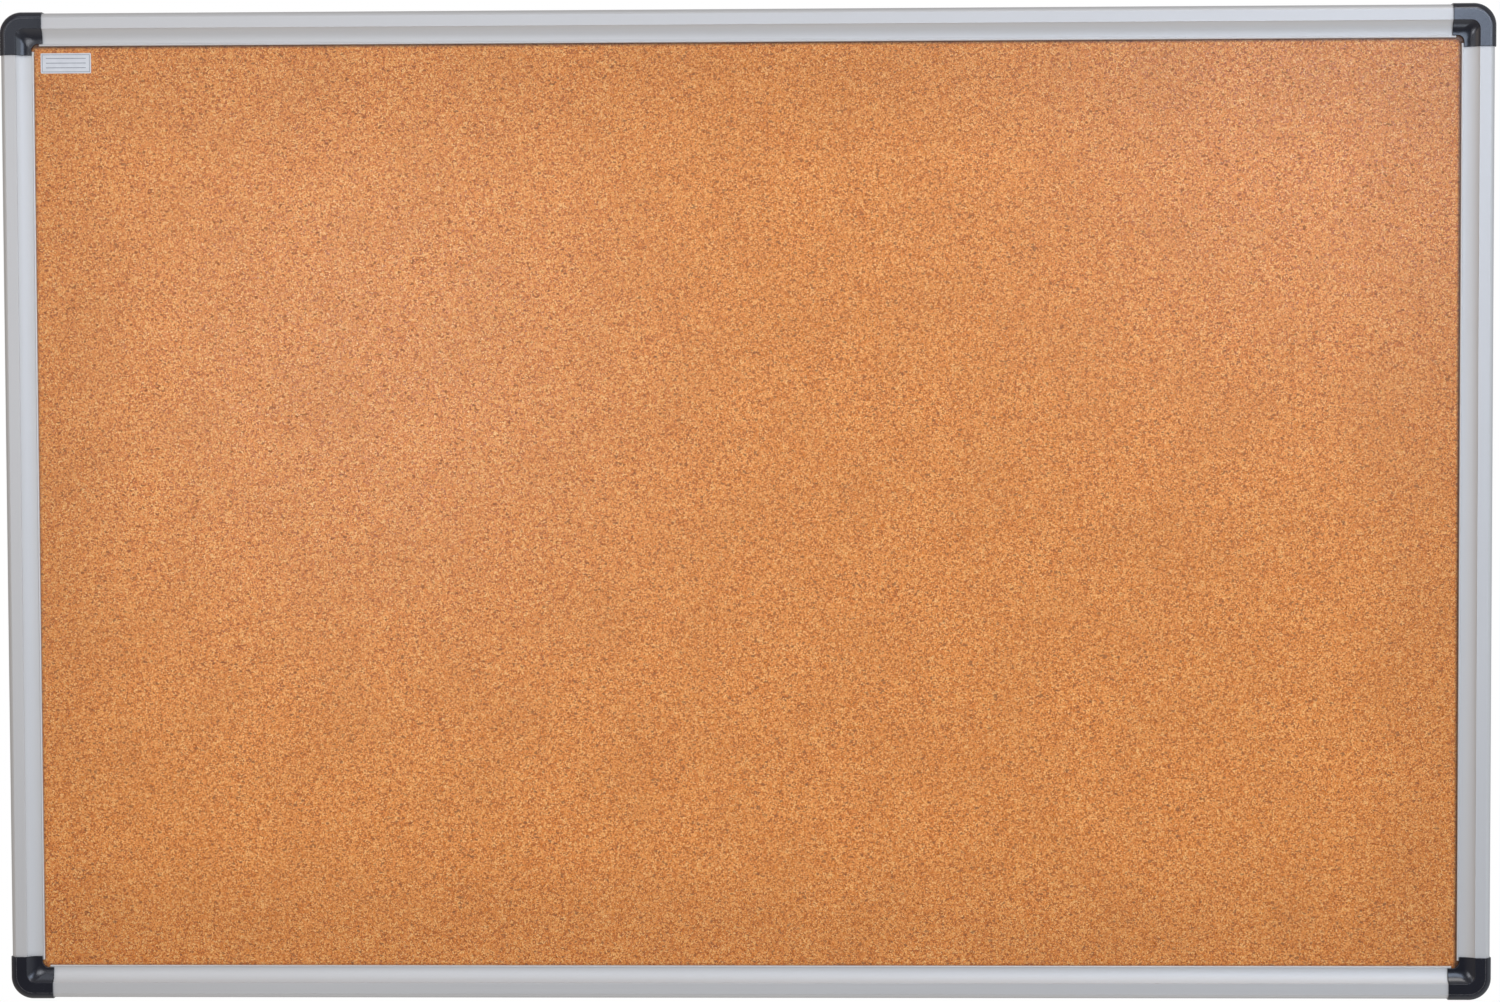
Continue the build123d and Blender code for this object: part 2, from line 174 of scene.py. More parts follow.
def turned(centre, profile, around=COUNTERSINK_SIDES):
    """Tube on an axis along +Y through a point: rings at the profile's depths with its radii, in mm."""
    depth, radius = (np.array(profile, float) * MM).T
    angle = np.linspace(0, 2 * np.pi, around, endpoint=False)
    grid = np.empty((len(depth), around, 3))
    grid[..., 0] = centre[0] + radius[:, None] * np.cos(angle)
    grid[..., 1] = centre[1] - depth[:, None]
    grid[..., 2] = centre[2] + radius[:, None] * np.sin(angle)
    return grid


def cut_away(piece, tubes):
    """The piece less some closed tubes, as one finished mesh."""
    cutter = solid_from_tubes("cutter", without_wear_or_highlight(tubes), piece.data.materials[0])
    piece.modifiers.clear()
    boolean = piece.modifiers.new("cut", "BOOLEAN")
    boolean.object = cutter
    boolean.operation = "DIFFERENCE"
    boolean.solver = "EXACT"
    shape = bpy.data.meshes.new_from_object(piece.evaluated_get(bpy.context.evaluated_depsgraph_get()))
    piece.modifiers.clear()
    piece.data = shape
    bpy.data.objects.remove(cutter)
    return smoothed(piece)


class Finish:
    """A finish under construction: its node tree, and short-hands for the nodes that finishes share."""

    def __init__(self, name):
        self.material = bpy.data.materials.new(name)
        self.material.use_nodes = True
        self.tree = self.material.node_tree
        self.shader = self.tree.nodes["Principled BSDF"]

    def plug(self, socket, value):
        """A link if the value is another node's socket, else the value itself; a colour has three parts."""
        if isinstance(value, bpy.types.NodeSocket):
            self.tree.links.new(value, socket)
        elif socket.type == "RGBA":
            socket.default_value = (*value, 1.0)
        else:
            socket.default_value = value

    def add(self, kind, inputs=None, **settings):
        """A new node with its settings and inputs."""
        node = self.tree.nodes.new("ShaderNode" + kind)
        for key, value in settings.items():
            setattr(node, key, value)
        for key, value in (inputs or {}).items():
            self.plug(node.inputs[key], value)
        return node

    def place(self):
        """Position on the object, in metres."""
        return self.add("TexCoord").outputs["Object"]

    def scaled(self, vector, scale):
        """A position stretched along its axes."""
        return self.add("Mapping", {"Vector": vector, "Scale": scale}).outputs["Vector"]

    def noise(self, vector, scale, detail=2.0, roughness=0.5):
        """Cloudy value about 0.5, with features about 1 / scale across."""
        inputs = {"Vector": vector, "Scale": scale, "Detail": detail, "Roughness": roughness}
        return self.add("TexNoise", inputs).outputs["Fac"]

    def span(self, value, low, high, from_low=NOISE_LOW, from_high=NOISE_HIGH):
        """Value carried from one range, a noise's unless given, to another and held within it."""
        inputs = {"Value": value, "From Min": from_low, "From Max": from_high, "To Min": low, "To Max": high}
        return self.add("MapRange", inputs).outputs["Result"]

    def reckon(self, operation, *values):
        """One to three values added, multiplied, compared and so on."""
        node = self.add("Math", dict(enumerate(values)), operation=operation)
        return node.outputs[0]

    def blend(self, factor, a, b, mode="MIX"):
        """Two colours mixed by a factor."""
        node = self.add("Mix", data_type="RGBA", blend_type=mode)
        self.plug(node.inputs[MIX_FACTOR], factor)
        self.plug(node.inputs[MIX_FIRST], a)
        self.plug(node.inputs[MIX_SECOND], b)
        return node.outputs[MIX_COLOUR]

    def relief(self, height, depth, strength=1.0, under=None):
        """Bump of a depth in mm, over another bump."""
        inputs = {"Height": height, "Distance": depth * MM, "Strength": strength}
        if under is not None:
            inputs["Normal"] = under
        return self.add("Bump", inputs).outputs["Normal"]

    def done(self, **inputs):
        """The material, with these on its shader, by the input's name with _ for a space."""
        for key, value in inputs.items():
            self.plug(self.shader.inputs[key.replace("_", " ")], value)
        return self.material


def anodised_aluminium():
    """Satin anodised extrusion: faint die lines along its length, an etched grain, and tight corners
    lightened by wear and a painted highlight.
    """
    f = Finish("satin_anodised_aluminium")
    lengthwise = f.add("UVMap", uv_map="UVMap").outputs["UV"]
    place = f.place()
    die_lines = f.noise(f.scaled(lengthwise, (5.0, 1500.0, 1.0)), 1.0, 3.0, 0.6)
    wide_lines = f.noise(f.scaled(lengthwise, (2.0, 260.0, 1.0)), 1.0)
    grain = f.noise(place, 5200.0, 2.0, 0.6)
    cloud = f.noise(place, 16.0, 3.0)
    edge_wear_and_highlight = f.add("Attribute", attribute_name="edge_wear_and_highlight").outputs["Fac"]
    tone = f.blend(f.span(die_lines, 0, 1), *ANODISED_TONES)
    tone = f.blend(f.span(cloud, 0, 0.35), tone, ANODISED_CLOUD)
    # Tight outer corners lightened: partly edge wear, partly a painted highlight.
    tone = f.blend(f.span(edge_wear_and_highlight, 0, 0.5, 0, 1), tone, ANODISED_CORNER_WEAR_AND_HIGHLIGHT)
    rough = f.reckon("ADD", f.span(die_lines, 0.54, 0.62), f.span(grain, -0.03, 0.03))
    skin = f.relief(wide_lines, 0.010, 0.5)
    skin = f.relief(die_lines, 0.006, 0.6, skin)
    skin = f.relief(grain, 0.006, 0.5, skin)
    return f.done(Base_Color=tone, Metallic=0.85, Roughness=rough, Normal=skin)


def rail(name, material):
    """The rail's outline and its chamber's carried along its length, in the place of its CAD node."""
    low, high = (np.array(corner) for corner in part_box(name))
    along = 0 if high[0] - low[0] > high[2] - low[2] else 2
    across = 2 - along
    inward = 1 if low[across] < 0 else -1
    edge = low[across] if inward > 0 else high[across]
    stations = np.array([low[along], low[along] + SAW_BURR, high[along] - SAW_BURR, high[along]])
    pull_in = np.array([SAW_BURR_DEPTH, 0, 0, SAW_BURR_DEPTH])
    tubes = []
    for outline, side in ((RAIL_OUTLINE, 1), (CHAMBER_OUTLINE, -1)):
        points, edge_wear_and_highlight, normal = rounded_outline(outline)
        ring = points[None] - side * normal[None] * pull_in[:, None, None]
        grid = np.empty((len(stations), len(points), 3))
        grid[..., along] = stations[:, None]
        grid[..., across] = edge + inward * ring[..., 0]
        grid[..., 1] = high[1] - ring[..., 1]
        tubes.append((grid, edge_wear_and_highlight))
    piece = solid_from_tubes("frame_" + name, tubes, material, nested=True)
    holes = []
    for end in (low[along] + SCREW_FROM_END, high[along] - SCREW_FROM_END):
        centre = np.array([0.0, high[1], 0.0])
        centre[along] = end
        centre[across] = edge + inward * SCREW_LINE
        holes.append(turned(centre, COUNTERSINK))
    return cut_away(piece, holes)


aluminium = anodised_aluminium()
for rail_name in ("rail_top", "rail_bottom", "rail_left", "rail_right"):
    piece = rail(rail_name, aluminium)
    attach(piece, "board")
    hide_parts(rail_name)


# ---------------------------------------------------------------------------------------------------
# Corner brackets: black glass-filled nylon mouldings behind the caps. Two spigots hold the rails
# square, and a pocket and a hole through the block take the wall screw.

CORNERS = ("top_left", "top_right", "bottom_left", "bottom_right")
BRACKET_EDGE = 0.25 * MM      # radius on the moulding's edges
BRACKET_EDGE_STEPS = 2
WELD_WITHIN = 0.002 * MM      # nearer than this, two of the node's corners are one
FLAT_WITHIN = math.radians(0.5)    # faces within this angle are one flat
BREAK_PAST = math.radians(35)      # edges past this angle are rounded
NYLON_TONES = ((0.011, 0.012, 0.014), (0.026, 0.026, 0.028))
GLASS_FIBRE = (0.060, 0.060, 0.062)


def glass_filled_nylon():
    """Black nylon with glass fibre: dull and a little mottled, with a fine eroded mould texture."""
    f = Finish("glass_filled_nylon")
    place = f.place()
    fibres = f.noise(f.scaled(place, (1.0, 1.6, 0.6)), 2400.0, 3.0, 0.6)
    mottle = f.noise(place, 130.0, 3.0)
    spark = f.noise(place, 6500.0, 1.0)
    tone = f.blend(f.span(mottle, 0, 1), *NYLON_TONES)
    tone = f.blend(f.span(fibres, 0, 0.5, 0.45, 0.8), tone, GLASS_FIBRE)
    skin = f.relief(spark, 0.02, 0.6)
    skin = f.relief(fibres, 0.03, 0.5, skin)
    return f.done(Base_Color=tone, Roughness=f.span(fibres, 0.48, 0.66), Normal=skin)


def softened(node, material, radius):
    """A CAD node with its loose triangles welded, and its hard edges broken by a small moulded radius."""
    node.data.materials.clear()
    node.data.materials.append(material)
    node.modifiers.new("weld", "WELD").merge_threshold = WELD_WITHIN
    flats = node.modifiers.new("flats", "DECIMATE")
    flats.decimate_type = "DISSOLVE"
    flats.angle_limit = FLAT_WITHIN
    edges = node.modifiers.new("edges", "BEVEL")
    edges.width = radius
    edges.segments = BRACKET_EDGE_STEPS
    edges.limit_method = "ANGLE"
    edges.angle_limit = BREAK_PAST
    edges.harden_normals = True


nylon = glass_filled_nylon()
for corner in CORNERS:
    softened(nodes["corner_bracket_" + corner], nylon, BRACKET_EDGE)


# ---------------------------------------------------------------------------------------------------
# Bracket screws: countersunk self-tapping screws of zinc-plated steel with a cross recess. From behind,
# they go through each rail's back wall into the spigot, two at a corner.

SCREW_SHANK = 1.08        # root radius and crest radius of the thread, in mm
SCREW_CREST = 1.42
THREAD_PITCH = 1.3        # in mm, as are the next three, which are depths below the head's face
THREAD_START = 1.5
SCREW_TIP = 9.4
SCREW_END = 11.0
SCREW_SIDES = 28
THREAD_RINGS = 14         # rings of points in each turn of the thread
TOOTH_POWER = 4
TIP_POWER = 0.8           # how the tip's taper swells
TIP_BLUNT = 0.08          # share of the root radius left at the very end
HEAD_RADIUS = 2.58
HEAD_PROFILE = [(0.0, HEAD_RADIUS - 0.12), (0.12, HEAD_RADIUS), (0.3, HEAD_RADIUS - 0.15),
                (1.15, SCREW_SHANK + 0.25)]   # depth and radius, in mm
RECESS = (1.5, 0.32)      # half length and half width of the cross, in mm
RECESS_LEVELS = [(-0.3, 1.15), (0.95, 0.45)]   # depth in mm, and share of the cross's size there
RECESS_LEAST = 0.9        # share of the half width that it never goes under
SCREW_HEAD_EDGE = 2.6 * MM   # from the side of the pair's box to a screw's axis
ZINC_TONES = ((0.60, 0.62, 0.66), (0.68, 0.66, 0.58))
ZINC_SCUFF = (0.80, 0.80, 0.80)


def zinc_plate():
    """Bright zinc plate: pale bluish grey with a faint yellow bloom, and scuffs from the driver."""
    f = Finish("zinc_plated_steel")
    place = f.place()
    bloom = f.noise(place, 700.0, 2.0)
    scuffs = f.noise(f.scaled(place, (1.0, 1.0, 4.0)), 3000.0, 3.0, 0.7)
    tone = f.blend(f.span(bloom, 0, 1), *ZINC_TONES)
    tone = f.blend(f.span(scuffs, 0, 0.5, 0.55, 0.8), tone, ZINC_SCUFF)
    return f.done(Base_Color=tone, Metallic=1.0, Roughness=f.span(scuffs, 0.24, 0.42),
                  Normal=f.relief(scuffs, 0.01, 0.6))


def screw_body(centre):
    """Screw on an axis along -Y: a flat countersunk head, then a shank whose radius follows a helical thread.

    The thread's height over the root is a rounded tooth, the 4th power of the cosine of half the angle
    between the point's turn and its share of the pitch, and fades in below the head and out at the tip.
    """
    head, head_radius = np.array(HEAD_PROFILE).T
    rows = int((SCREW_END - THREAD_START) / THREAD_PITCH * THREAD_RINGS)
    shank = np.linspace(THREAD_START, SCREW_END, rows)
    depth = np.concatenate([head, shank])
    angle = np.linspace(0, 2 * np.pi, SCREW_SIDES, endpoint=False)
    taper = np.clip((SCREW_END - shank) / (SCREW_END - SCREW_TIP), 0.0, 1.0) ** TIP_POWER
    fade = np.clip((shank - THREAD_START) / THREAD_PITCH, 0, 1) * taper
    tooth = np.cos((angle[None] - 2 * np.pi * shank[:, None] / THREAD_PITCH) / 2) ** TOOTH_POWER
    root = SCREW_SHANK * np.maximum(taper, TIP_BLUNT)[:, None]
    thread = root + (SCREW_CREST - SCREW_SHANK) * fade[:, None] * tooth
    radius = np.concatenate([np.repeat(head_radius[:, None], SCREW_SIDES, 1), thread]) * MM
    grid = np.empty((len(depth), SCREW_SIDES, 3))
    grid[..., 0] = centre[0] + radius * np.cos(angle)
    grid[..., 1] = centre[1] - depth[:, None] * MM
    grid[..., 2] = centre[2] + radius * np.sin(angle)
    return grid


def cross_recess(centre):
    """Two crossed wedges, as closed tubes that narrow with depth."""
    long, thin = (size * MM for size in RECESS)
    square = np.array([(-1, -1), (1, -1), (1, 1), (-1, 1)], float)
    wedges = []
    for half_x, half_z in ((long, thin), (thin, long)):
        grid = np.empty((2, 4, 3))
        for ring, (level, share) in enumerate(RECESS_LEVELS):
            grid[ring, :, 0] = centre[0] + square[:, 0] * max(half_x * share, thin * RECESS_LEAST)
            grid[ring, :, 1] = centre[1] - level * MM
            grid[ring, :, 2] = centre[2] + square[:, 1] * max(half_z * share, thin * RECESS_LEAST)
        wedges.append(grid)
    return wedges


def screw_pair(name, material):
    """Both screws of a corner, in the places of their CAD node's."""
    low, high = (np.array(corner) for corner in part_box(name))
    flip = 1 if (low[0] + high[0]) * (low[2] + high[2]) > 0 else -1
    half = (high - low) / 2
    middle = (low + high) / 2
    reach = (half - SCREW_HEAD_EDGE) * np.array([1, 0, -flip])
    centres = [np.array([0, high[1], 0]) + (middle + side * reach) * np.array([1, 0, 1]) for side in (-1, 1)]
    bodies = without_wear_or_highlight([screw_body(centre) for centre in centres])
    piece = solid_from_tubes(name.replace("corner", "bracket"), bodies, material)
    for centre in centres:
        for wedge in cross_recess(centre):
            piece = cut_away(piece, [wedge])
    return piece


zinc = zinc_plate()
for corner in CORNERS:
    name = "corner_screws_" + corner
    piece = screw_pair(name, zinc)
    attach(piece, "board")
    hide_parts(name)


# ---------------------------------------------------------------------------------------------------
# Panel: a sheet of pressed cork granules, glued to a softboard core that holds the pins, with a thin
# embossed backing sheet behind. The laminate slides into the rails' slots with its corners cut off.

GRANULE = 0.78 * MM
WOBBLE = 0.9 * MM         # how far a granule's sides are bent
WOBBLES_PER_METRE = 900.0
SEAM_REACH = 0.10         # width of the dark seam, as a share of a granule
SEAM_DEPTH = 0.55         # how much of the seam's and bark's colours shows
BARK_DEPTH = 0.75
BARK_PER_METRE = 620.0
BARK_RARITY = (0.965, 0.985)       # all but two or three cells in a hundred are plain
CORK_TONES = (            # share of the granules up to each shade, and the shade
    (0.0, (0.33, 0.070, 0.002)), (0.25, (0.66, 0.178, 0.014)), (0.55, (0.83, 0.282, 0.048)),
    (0.85, (0.93, 0.405, 0.098)), (1.0, (0.98, 0.560, 0.200)),
)
SEAM_TONE = (0.24, 0.062, 0.006)
BARK_TONE = (0.20, 0.055, 0.006)
CLOUD_TONE = (0.50, 0.170, 0.022)
CORK_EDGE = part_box("cork_sheet")
LIP_OVERLAP = 10.0 * MM   # width of cork hidden under the rails' lips
SIDE_PAINTED_SHADE = (0.08, 0.90)  # width in metres, and brightness at the rail, of the painted shade along the sides
END_PAINTED_SHADE = (0.09, 0.89)   # and at the top and bottom
LIP_PAINTED_SHADE = (0.75, 1.0, 0.3 * MM, 1.5 * MM)   # painted shade along every lip: brightness at the lip and beyond, and where each is reached
LIP_PAINTED_SHADOW = (0.30, 1.0, 0.5 * MM, 2.2 * MM)   # the same for the painted shadow line under the top and right lips
PAINTED_SHADOW_CORNER = 5.0 * MM     # rounding where those two painted shadow lines meet
SOFTBOARD_TONES = ((0.36, 0.245, 0.145), (0.48, 0.345, 0.215))
SOFTBOARD_STRAND = (0.20, 0.125, 0.070)
BACKING_TONES = ((0.345, 0.350, 0.355), (0.405, 0.410, 0.412))
BACKING_GRIME = (0.270, 0.262, 0.250)
BACKING_PEBBLE = (0.50, 0.505, 0.51)


def pressed_cork():
    """Cork granules, each its own shade of tan, with dark seams and bark specks.

    The granules are random cells, warped by fine noise so that none is straight-sided. The sheet has painted
    shade towards its edges, with a painted shadow line along the rails' lips, deepest at the top and the
    right.
    """
    f = Finish("pressed_cork")
    place = f.place()
    wobble = f.add("TexNoise", {"Vector": place, "Scale": WOBBLES_PER_METRE, "Detail": 1.0}).outputs["Color"]
    shift = f.add("VectorMath", {0: wobble, 1: (0.5, 0.5, 0.5)}, operation="SUBTRACT").outputs[0]
    warped = f.add("VectorMath", {0: shift, 1: (WOBBLE, WOBBLE, WOBBLE), 2: place},
                   operation="MULTIPLY_ADD").outputs[0]
    cells = f.add("TexVoronoi", {"Vector": warped, "Scale": 1 / GRANULE})
    shade = f.add("SeparateColor", {"Color": cells.outputs["Color"]})
    seam = f.add("TexVoronoi", {"Vector": warped, "Scale": 1 / GRANULE}, feature="DISTANCE_TO_EDGE")
    seam = f.span(seam.outputs["Distance"], 1, 0, 0.0, SEAM_REACH)
    fine = f.noise(place, 2600.0, 2.0, 0.6)
    cloud = f.noise(place, 22.0, 3.0, 0.55)
    bark = f.add("TexVoronoi", {"Vector": f.scaled(warped, (1.0, 1.0, 1.5)), "Scale": BARK_PER_METRE})
    bark = f.add("SeparateColor", {"Color": bark.outputs["Color"]}).outputs["Green"]
    bark = f.span(bark, 0, 1, *BARK_RARITY)
    ramp = f.add("ValToRGB", {"Fac": f.reckon("ADD", shade.outputs["Red"], f.span(fine, -0.16, 0.16))})
    while len(ramp.color_ramp.elements) < len(CORK_TONES):
        ramp.color_ramp.elements.new(0.5)
    for element, (position, colour) in zip(ramp.color_ramp.elements, CORK_TONES):
        element.position = position
        element.color = (*colour, 1.0)
    tone = f.blend(f.reckon("MULTIPLY", seam, SEAM_DEPTH), ramp.outputs["Color"], SEAM_TONE)
    tone = f.blend(f.reckon("MULTIPLY", bark, BARK_DEPTH), tone, BARK_TONE)
    tone = f.blend(f.span(cloud, 0.0, 0.20), tone, CLOUD_TONE)
    x, _, z = f.add("SeparateXYZ", {"Vector": place}).outputs
    half_x = (CORK_EDGE[1][0] - CORK_EDGE[0][0]) / 2 - LIP_OVERLAP
    half_z = (CORK_EDGE[1][2] - CORK_EDGE[0][2]) / 2 - LIP_OVERLAP
    to_side = f.reckon("SUBTRACT", half_x, f.reckon("ABSOLUTE", x))
    to_end = f.reckon("SUBTRACT", half_z, f.reckon("ABSOLUTE", z))
    # Distances to the top and right lips, for the painted shadow cast under them.
    to_right, to_top = f.reckon("SUBTRACT", half_x, x), f.reckon("SUBTRACT", half_z, z)
    to_shadowed_lips = f.reckon("SMOOTH_MIN", to_right, to_top, PAINTED_SHADOW_CORNER)
    # Painted shade: the cork is darkened towards the rails on every side.
    painted_shades = []
    for distance, (width, dimmest) in ((to_side, SIDE_PAINTED_SHADE), (to_end, END_PAINTED_SHADE)):
        inputs = {"Value": distance, "From Max": width, "To Min": dimmest, "To Max": 1.0}
        painted_shades.append(f.add("MapRange", inputs, interpolation_type="SMOOTHSTEP").outputs["Result"])
    painted_shade = f.reckon("MULTIPLY", *painted_shades)
    # Painted shade: a thin dark line on the cork right against every lip.
    lip_shade = f.span(f.reckon("MINIMUM", to_side, to_end), *LIP_PAINTED_SHADE)
    painted_shade = f.reckon("MULTIPLY", painted_shade, f.reckon("MULTIPLY", lip_shade, f.span(to_shadowed_lips, *LIP_PAINTED_SHADOW)))
    tone = f.blend(1.0, tone, painted_shade, "MULTIPLY")
    granules = f.reckon("SUBTRACT", f.span(shade.outputs["Blue"], 0.0, 0.6, 0.0, 1.0), seam)
    skin = f.relief(granules, 0.10, 0.6)
    skin = f.relief(fine, 0.025, 0.5, skin)
    rough = f.reckon("ADD", f.span(shade.outputs["Green"], 0.24, 0.38, 0.0, 1.0), f.span(fine, -0.04, 0.04))
    rough = f.reckon("MULTIPLY_ADD", f.reckon("MAXIMUM", bark, seam), 0.25, rough)
    return f.done(Base_Color=tone, Roughness=rough, Specular_IOR_Level=0.6, Normal=skin)


def softboard():
    """Insulation board: matted wood fibre, light brown, with darker strands and a torn nap."""
    f = Finish("wood_fibre_softboard")
    place = f.place()
    strands = f.noise(f.scaled(place, (1.0, 2.5, 1.0)), 900.0, 4.0, 0.7)
    clumps = f.noise(place, 160.0, 3.0)
    tone = f.blend(f.span(clumps, 0, 1), *SOFTBOARD_TONES)
    tone = f.blend(f.span(strands, 0, 0.8, 0.5, 0.75), tone, SOFTBOARD_STRAND)
    skin = f.relief(strands, 0.30, 0.8)
    return f.done(Base_Color=tone, Roughness=f.span(strands, 0.82, 0.96), Normal=skin)


def embossed_backing():
    """Grey backing sheet: a fine rolled-in pebble, faint roller bands and a little handling grime."""
    f = Finish("embossed_backing_sheet")
    place = f.place()
    pebble = f.add("TexVoronoi", {"Vector": place, "Scale": 620.0, "Smoothness": 0.6}, feature="SMOOTH_F1")
    pebble = pebble.outputs["Distance"]
    bands = f.noise(f.scaled(place, (0.6, 1.0, 22.0)), 1.0, 3.0)
    grime = f.noise(place, 9.0, 5.0, 0.6)
    tone = f.blend(f.span(bands, 0, 1), *BACKING_TONES)
    tone = f.blend(f.span(grime, 0, 0.4, 0.5, 0.75), tone, BACKING_GRIME)
    tone = f.blend(f.span(pebble, 0.25, 0, 0.1, 0.5), tone, BACKING_PEBBLE)
    skin = f.relief(pebble, 0.12, 0.5)
    skin = f.relief(bands, 0.25, 0.3, skin)
    return f.done(Base_Color=tone, Roughness=f.span(grime, 0.42, 0.58), Normal=skin)


PANEL_FINISHES = {"cork_sheet": pressed_cork, "core_board": softboard, "backing_sheet": embossed_backing}
for name, finish in PANEL_FINISHES.items():
    nodes[name].data.materials.clear()
    nodes[name].data.materials.append(finish())


# ---------------------------------------------------------------------------------------------------
# Label: a small stick-on tag of coated white film on the cork, with rounded corners. It is printed
# only with a thin border and three ruled lines.

LABEL_EDGE = [  # how far in from the film's edge, and height over the cork, in mm
    (0.0, 0.0), (0.0, 0.09), (0.03, 0.13), (0.09, 0.15), (1.2, 0.15), (4.0, 0.155),
]
LABEL_CORNER = 0.7        # corner radius, in mm
LABEL_ARC_STEPS = 6
LABEL_SHARP_ANGLE = 50
LABEL_INNERMOST = 0.96    # the steps in never go past this share of the way to the middle
BORDER = (0.95, 0.34)     # from the label's edge, and line width, in mm
RULES = (0.28, 0.51, 0.74)   # heights of the ruled lines, as shares of the label's
RULE = 0.42               # width of a ruled line, in mm
RULE_MARGIN = 3.2         # from the label's ends to the ruled lines' ends, in mm
FILM_TONES = ((0.555, 0.565, 0.585), (0.605, 0.615, 0.635))
SLATE_INK = (0.10, 0.115, 0.15)


def coated_film(low, high):
    """White coated film with a faint paper tooth; border and ruled lines are printed in slate grey."""
    f = Finish("coated_label_film")
    place = f.place()
    x, _, z = f.add("SeparateXYZ", {"Vector": place}).outputs
    half = ((high[0] - low[0]) / 2, (high[2] - low[2]) / 2)
    off_x = f.reckon("ABSOLUTE", f.reckon("SUBTRACT", x, (low[0] + high[0]) / 2))
    off_z = f.reckon("ABSOLUTE", f.reckon("SUBTRACT", z, (low[2] + high[2]) / 2))
    inset = f.reckon("MINIMUM", f.reckon("SUBTRACT", half[0], off_x), f.reckon("SUBTRACT", half[1], off_z))
    ink = f.reckon("COMPARE", inset, BORDER[0] * MM, BORDER[1] / 2 * MM)
    within = f.reckon("LESS_THAN", off_x, half[0] - RULE_MARGIN * MM)
    for share in RULES:
        level = low[2] + share * (high[2] - low[2])
        line = f.reckon("MULTIPLY", f.reckon("COMPARE", z, level, RULE / 2 * MM), within)
        ink = f.reckon("MAXIMUM", ink, line)
    tooth = f.noise(place, 3800.0, 2.0, 0.6)
    cloud = f.noise(place, 240.0, 2.0)
    tone = f.blend(f.span(cloud, 0, 1), *FILM_TONES)
    tone = f.blend(f.reckon("MULTIPLY", ink, f.span(tooth, 0.6, 0.95)), tone, SLATE_INK)
    return f.done(Base_Color=tone, Roughness=f.span(tooth, 0.34, 0.48), Normal=f.relief(tooth, 0.01, 0.5))


def label_sheet(name):
    """Rounded rectangle whose outline steps in as it rises over the film's edge, then on to the middle."""
    low, high = (np.array(corner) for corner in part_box(name))
    width, height = (high - low)[[0, 2]] / MM
    places = ((0, 0), (width, 0), (width, height), (0, height))
    points = rounded_outline([(x, z, LABEL_CORNER) for x, z in places], LABEL_ARC_STEPS)[0]
    inset, lift = (np.array(LABEL_EDGE) * MM).T
    middle = np.array([width, height]) / 2 * MM
    from_middle = points - middle
    pull = np.minimum(inset[:, None, None], np.abs(from_middle)[None] * LABEL_INNERMOST)
    ring = points[None] - pull * np.sign(from_middle)
    grid = np.empty((len(inset), len(points), 3))
    grid[..., 0] = low[0] + ring[..., 0]
    grid[..., 1] = high[1] - lift[:, None]
    grid[..., 2] = low[2] + ring[..., 1]
    return solid_from_tubes("tag_label", without_wear_or_highlight([grid]), coated_film(low, high), LABEL_SHARP_ANGLE)


piece = label_sheet("label")
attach(piece, "board")
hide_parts("label")


# ---------------------------------------------------------------------------------------------------
# Corner caps: thin mouldings in glossy blue-black plastic that press over the bracket and the rails'
# ends. Their front repeats the rail's rounded edge, step and cove, swept round the corner.

CAP_AT_CORNER = [  # in from the cap's outer side, height off the wall, corner radius, in mm
    (0.0, 0.5, 0.25), (0.0, 15.3, 4.0), (3.3, 16.0, 0.25), (10.3, 16.0, 0.22), (10.3, 15.5, 0.15),
    (14.16, 12.26, 12.8), (19.05, 12.26, 0.2), (19.05, 10.36, 0.1), (17.85, 10.36, 0.1),
    (17.85, 11.06, 0.05), (13.73, 11.06, 10.0), (9.8, 14.36, 0.05), (9.6, 14.5, 0.05), (3.0, 14.5, 0.5),
    (1.5, 13.4, 0.5), (1.5, 0.5, 0.2),
]
CAP_OVER_RAIL = CAP_AT_CORNER[:7] + [
    (19.05, 11.45, 0.05), (18.9, 11.45, 0.03), (18.6, 11.41, 0.05), (14.21, 11.41, 11.4),
    (10.45, 14.65, 0.1), (10.45, 15.15, 0.1), (3.7, 15.15, 0.3), (0.55, 14.6, 3.5), (0.55, 0.5, 0.15),
]
CORNER_ROUND = ([0.0, 10.3, 19.05], [13.5, 5.3, 4.0])   # radius round the corner at each distance in
CAP_STATIONS = [(26.0, 0.2), (25.973, 0.1), (25.9, 0.027), (25.8, 0.0), (23.6, 0.0)]   # and how far pulled in
OVER_RAIL_TO = 23.55      # nearer the corner than this, the cap's inside follows the bracket
CORNER_SEGMENTS = 24
TONGUE = (4.4, 1.4, 18.7, 6.1)      # size along and across an arm, and place
TONGUE_LEVELS = [(5.0, 0.3), (5.3, 0.0), (15.0, 0.0)]   # height off the wall, and how far pulled in
OVER_RAIL_POINTS = rounded_outline(CAP_OVER_RAIL)[0]
ROUND_THE_CAP = np.linalg.norm(np.diff(OVER_RAIL_POINTS, axis=0), axis=1).cumsum()
BAND_EDGE_STEP = 2 * ARC_STEPS + 4                      # the step on the flat band's outer rounding
HIGHLIGHT_LINE = float(ROUND_THE_CAP[BAND_EDGE_STEP])      # distance round the outline to the painted highlight line
HIGHLIGHT_WIDTH = (0.10 * MM, 0.35 * MM)                   # painted highlight full within the first, none past the second
HIGHLIGHT_SHOWS = 0.7                                            # how much of the painted highlight colour shows there
CAP_TONES = ((0.0036, 0.0043, 0.0100), (0.0050, 0.0058, 0.0125))
CAP_SCUFF_AND_HIGHLIGHT = (0.080, 0.082, 0.090)
CAP_PAINTED_HIGHLIGHT = (0.115, 0.110, 0.108)


